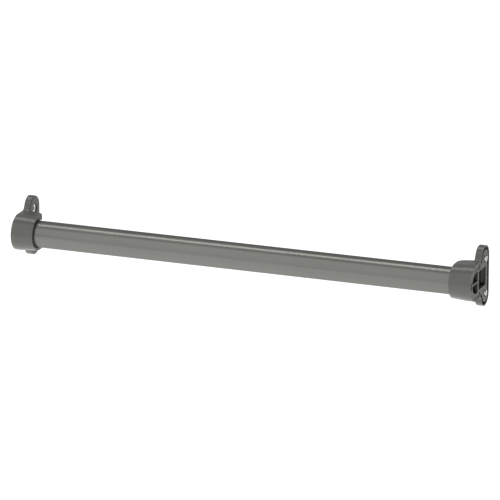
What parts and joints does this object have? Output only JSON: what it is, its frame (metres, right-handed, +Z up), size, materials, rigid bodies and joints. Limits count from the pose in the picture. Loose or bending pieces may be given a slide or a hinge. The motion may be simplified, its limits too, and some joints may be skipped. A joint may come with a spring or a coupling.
{
  "type": "wardrobe clothes rail",
  "caption": "Round clothes rail for a wardrobe: a steel tube that turns in moulded end brackets with ribbed backs, screwed to the cabinet's sides through flanged metal bushes",
  "frame": {"origin": "back face of the left bracket, midway between its two screw holes", "axes": "+X along the rail towards the right bracket, +Y towards the back of the cabinet, +Z up; the tube's axis is at y = -25.5 mm, z = 0"},
  "size_m": [0.4504, 0.0521, 0.0564],
  "materials": {
    "tube_paint": "satin",
    "bracket_moulding": "matte",
    "bush_metal": "bright"
  },
  "bodies": {
    "left_end": {"left_bracket": "bracket_moulding", "left_upper_bush": "bush_metal", "left_lower_bush": "bush_metal"},
    "rail": {"rail_tube": "tube_paint"},
    "right_end": {"right_bracket": "bracket_moulding", "right_upper_bush": "bush_metal", "right_lower_bush": "bush_metal"}
  },
  "joints": [
    {"name": "rail_turn", "type": "hinge", "parent": "left_end", "child": "rail", "pos_m": [0.224, -0.0255, 0], "axis": [1, 0, 0], "continuous": true},
    {"name": "right_bracket_slide", "type": "slide", "parent": "left_end", "child": "right_end", "axis": [1, 0, 0], "range_m": [0, 0.013]}
  ]
}
